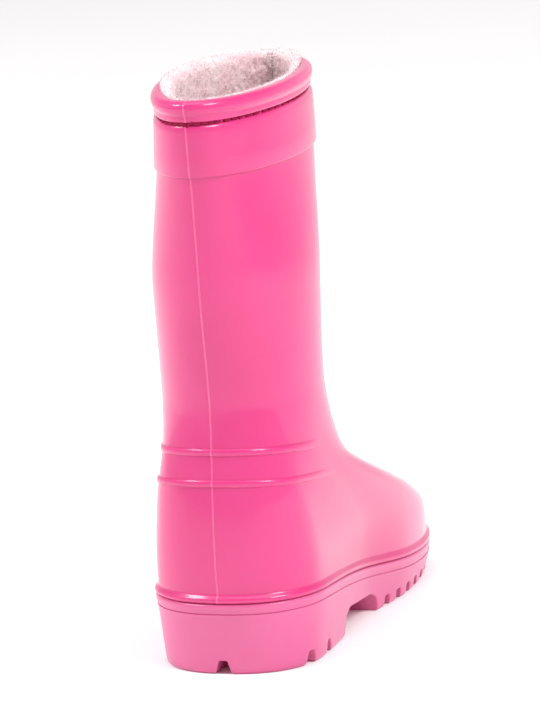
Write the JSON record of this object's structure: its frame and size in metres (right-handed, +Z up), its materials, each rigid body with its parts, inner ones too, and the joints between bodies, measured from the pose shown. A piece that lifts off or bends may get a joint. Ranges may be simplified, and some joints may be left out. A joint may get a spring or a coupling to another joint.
{
  "type": "rubber rain boot",
  "caption": "Child's lined rain boot, left foot: glossy moulded shell, lugged sole with heel, plush lining stitched at the rim, and a loose insole.",
  "frame": {"origin": "middle of the boot's footprint on the ground", "axes": "+Z up the leg, -Y towards the toe, +Y towards the heel, -X towards the medial side of the left foot"},
  "size_m": [0.0734, 0.2086, 0.2266],
  "materials": {
    "shell_pvc": "high gloss moulded",
    "sole_pvc": "semi-gloss moulded",
    "plush": "curly pile",
    "lining_thread": "spun",
    "rim_thread": "spun",
    "foam": "matte closed cell",
    "board": "matte fibre board"
  },
  "bodies": {
    "boot": {"upper_shell": "shell_pvc", "outsole": "sole_pvc", "heel_filler": "foam", "insole_board": "board", "lining_bottom": "plush", "lining_medial": "plush", "lining_lateral": "plush", "lining_back_seam": "lining_thread", "lining_front_seam": "lining_thread", "rim_stitch": "rim_thread"},
    "insole": {"insole_foam": "foam", "insole_cover": "plush"}
  },
  "joints": [
    {"name": "insole_lift", "type": "hinge", "parent": "boot", "child": "insole", "pos_m": [0, -0.0938, 0.0215], "axis": [1, 0, 0], "range_deg": [0, 5]}
  ]
}
